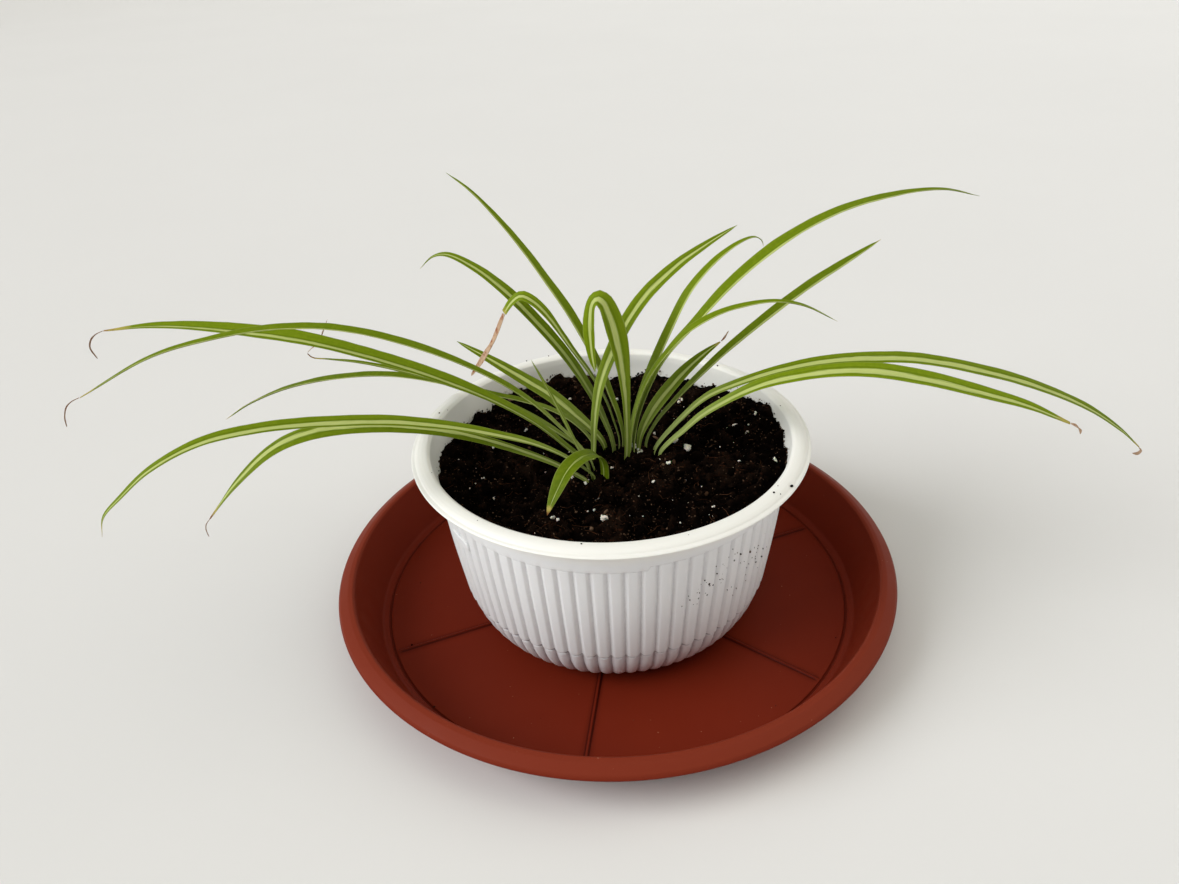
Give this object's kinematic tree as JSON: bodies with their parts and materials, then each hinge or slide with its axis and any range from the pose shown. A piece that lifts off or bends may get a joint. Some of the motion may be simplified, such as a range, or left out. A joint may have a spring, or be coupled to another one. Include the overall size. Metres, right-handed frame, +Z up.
{
  "type": "potted spider plant",
  "caption": "Spider plant with arching striped leaves in a white fluted bowl pot that stands in a wide terracotta-coloured plastic saucer.",
  "frame": {"origin": "centre of the pot, on the surface that the saucer stands on", "axes": "+Z up along the pot's axis, +X to the right and -Y toward the viewer in the object's front view"},
  "size_m": [0.552, 0.3026, 0.2304],
  "materials": {
    "saucer": "satin brick-red moulded plastic",
    "pot": "satin white moulded plastic",
    "soil": "damp dark peat with white grains and red-brown bits",
    "crown": "pale green plant tissue",
    "leaf": "green leaf with a cream stripe, slightly shiny",
    "dry_leaf": "dead brown leaf end"
  },
  "bodies": {
    "root": {"saucer": "saucer", "pot": "pot", "soil": "soil", "crown_front_left": "crown", "crown_back_left": "crown", "crown_middle": "crown", "crown_right": "crown", "leaf_left_1": "leaf", "leaf_left_2": "leaf", "leaf_left_3": "leaf", "leaf_left_4": "leaf", "leaf_left_5": "leaf", "leaf_left_6": "leaf", "leaf_left_7": "leaf", "leaf_left_8": "leaf", "leaf_left_9": "leaf", "leaf_top_1": "leaf", "leaf_top_2": "leaf", "leaf_top_3": "leaf", "leaf_top_4": "leaf", "leaf_right_1": "leaf", "leaf_right_2": "leaf", "leaf_right_3": "leaf", "leaf_right_4": "leaf", "leaf_right_5": "leaf", "leaf_right_6": "leaf", "leaf_right_7": "leaf", "leaf_right_8": "leaf", "leaf_left_1_dry_tip": "dry_leaf", "leaf_left_2_dry_tip": "dry_leaf", "leaf_left_4_dry_tip": "dry_leaf", "leaf_left_6_dry_tip": "dry_leaf", "leaf_top_3_dry_tip": "dry_leaf", "leaf_right_6_dry_tip": "dry_leaf", "leaf_right_7_dry_tip": "dry_leaf", "leaf_right_8_dry_tip": "dry_leaf"}
  },
  "joints": []
}
